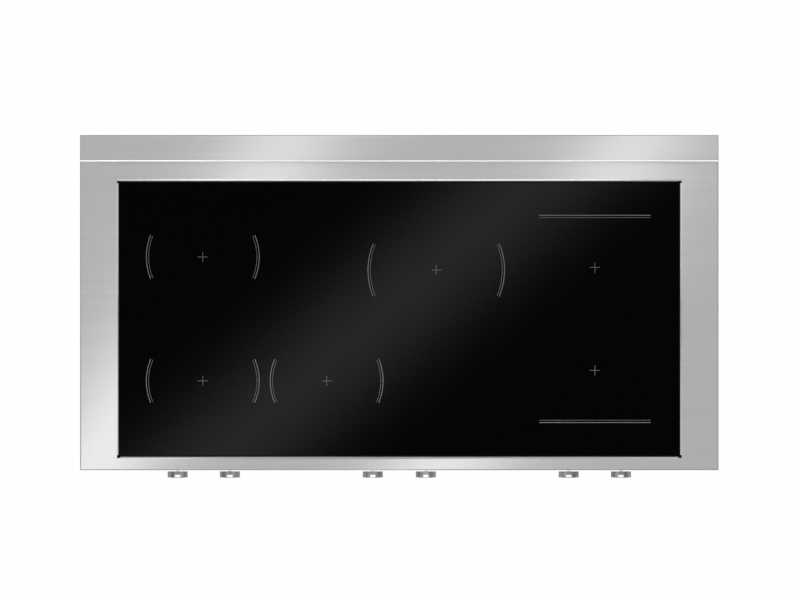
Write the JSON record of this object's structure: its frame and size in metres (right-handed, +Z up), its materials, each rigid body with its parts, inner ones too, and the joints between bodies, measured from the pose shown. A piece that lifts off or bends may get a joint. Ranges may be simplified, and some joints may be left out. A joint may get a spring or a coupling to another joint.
{
  "type": "induction rangetop",
  "caption": "Wide stainless induction rangetop: recessed black glass with printed cooking zones, raised rear trim and turning front knobs.",
  "frame": {"origin": "centre of the whole footprint, knobs included, on the surface that the base rails rest on", "axes": "+X to the user's right, +Y from the user to the rear, +Z up"},
  "size_m": [1.216, 0.6528, 0.233],
  "materials": {
    "deck_steel": "fine horizontal brushing",
    "trim_steel": "fine horizontal brushing",
    "fascia_steel": "fine horizontal brushing",
    "black_glass": "polished",
    "zone_print": "satin fired print",
    "seal_silicone": "matt",
    "galvanised": "zinc coated, faint spangle",
    "knob_metal": "satin turned",
    "pointer_white": "gloss",
    "spindle_steel": "turned",
    "bezel_black": "gloss",
    "component_plastic": "moulded",
    "tray_plastic": "moulded",
    "circuit_board": "solder mask",
    "carrier_aluminium": "mill finish",
    "spring_steel": "drawn wire",
    "former_plastic": "moulded",
    "ferrite": "sintered",
    "copper_litz": "lacquered stranded copper",
    "mica": "pressed mica",
    "sensor_ceramic": "matt",
    "brass_terminal": "plated",
    "lead_insulation": "extruded",
    "screw_zinc": "zinc plated"
  },
  "bodies": {
    "casing": {"deck_frame": "deck_steel", "rear_trim": "trim_steel", "glass_panel": "black_glass", "zone_print": "zone_print", "glass_seal": "seal_silicone", "glass_support_frame": "galvanised", "front_fascia": "fascia_steel", "left_side_panel": "galvanised", "right_side_panel": "galvanised", "rear_panel": "galvanised", "base_pan": "galvanised", "base_rails": "galvanised", "knob_bezels": "bezel_black", "encoders": "component_plastic", "control_bracket": "galvanised", "control_board": "circuit_board", "coil_carrier_left": "carrier_aluminium", "coil_carrier_centre": "carrier_aluminium", "coil_carrier_right": "carrier_aluminium", "coil_springs": "spring_steel", "coil_formers": "former_plastic", "coil_ferrites": "ferrite", "coil_windings": "copper_litz", "coil_insulators": "mica", "coil_sensors": "sensor_ceramic", "inverter_trays": "tray_plastic", "inverter_boards": "circuit_board", "heatsinks": "carrier_aluminium", "power_components": "component_plastic", "fan_housings": "tray_plastic", "filter_board": "circuit_board", "terminal_block": "component_plastic", "terminal_screws": "brass_terminal", "terminal_cover": "galvanised", "conduit_bushing": "galvanised", "wiring_harness": "lead_insulation", "case_screws": "screw_zinc"},
    "control_1": {"knob_1": "knob_metal", "pointer_1": "pointer_white", "spindle_1": "spindle_steel"},
    "control_2": {"knob_2": "knob_metal", "pointer_2": "pointer_white", "spindle_2": "spindle_steel"},
    "control_3": {"knob_3": "knob_metal", "pointer_3": "pointer_white", "spindle_3": "spindle_steel"},
    "control_4": {"knob_4": "knob_metal", "pointer_4": "pointer_white", "spindle_4": "spindle_steel"},
    "control_5": {"knob_5": "knob_metal", "pointer_5": "pointer_white", "spindle_5": "spindle_steel"},
    "control_6": {"knob_6": "knob_metal", "pointer_6": "pointer_white", "spindle_6": "spindle_steel"},
    "fan_1": {"fan_rotor_1": "component_plastic"},
    "fan_2": {"fan_rotor_2": "component_plastic"},
    "fan_3": {"fan_rotor_3": "component_plastic"}
  },
  "joints": [
    {"name": "knob_turn_1", "type": "hinge", "parent": "casing", "child": "control_1", "pos_m": [-0.422, -0.3146, 0.112], "axis": [0, 1, 0], "range_deg": [0, 285]},
    {"name": "knob_turn_2", "type": "hinge", "parent": "casing", "child": "control_2", "pos_m": [-0.3225, -0.3146, 0.112], "axis": [0, 1, 0], "range_deg": [0, 285]},
    {"name": "knob_turn_3", "type": "hinge", "parent": "casing", "child": "control_3", "pos_m": [-0.0505, -0.3146, 0.112], "axis": [0, 1, 0], "range_deg": [0, 285]},
    {"name": "knob_turn_4", "type": "hinge", "parent": "casing", "child": "control_4", "pos_m": [0.0505, -0.3146, 0.112], "axis": [0, 1, 0], "range_deg": [0, 285]},
    {"name": "knob_turn_5", "type": "hinge", "parent": "casing", "child": "control_5", "pos_m": [0.3225, -0.3146, 0.112], "axis": [0, 1, 0], "range_deg": [0, 285]},
    {"name": "knob_turn_6", "type": "hinge", "parent": "casing", "child": "control_6", "pos_m": [0.422, -0.3146, 0.112], "axis": [0, 1, 0], "range_deg": [0, 285]},
    {"name": "fan_spin_1", "type": "hinge", "parent": "casing", "child": "fan_1", "pos_m": [-0.372, -0.1772, 0.038], "axis": [0, 0, 1], "continuous": true},
    {"name": "fan_spin_2", "type": "hinge", "parent": "casing", "child": "fan_2", "pos_m": [0, -0.1772, 0.038], "axis": [0, 0, 1], "continuous": true},
    {"name": "fan_spin_3", "type": "hinge", "parent": "casing", "child": "fan_3", "pos_m": [0.372, -0.1772, 0.038], "axis": [0, 0, 1], "continuous": true}
  ]
}
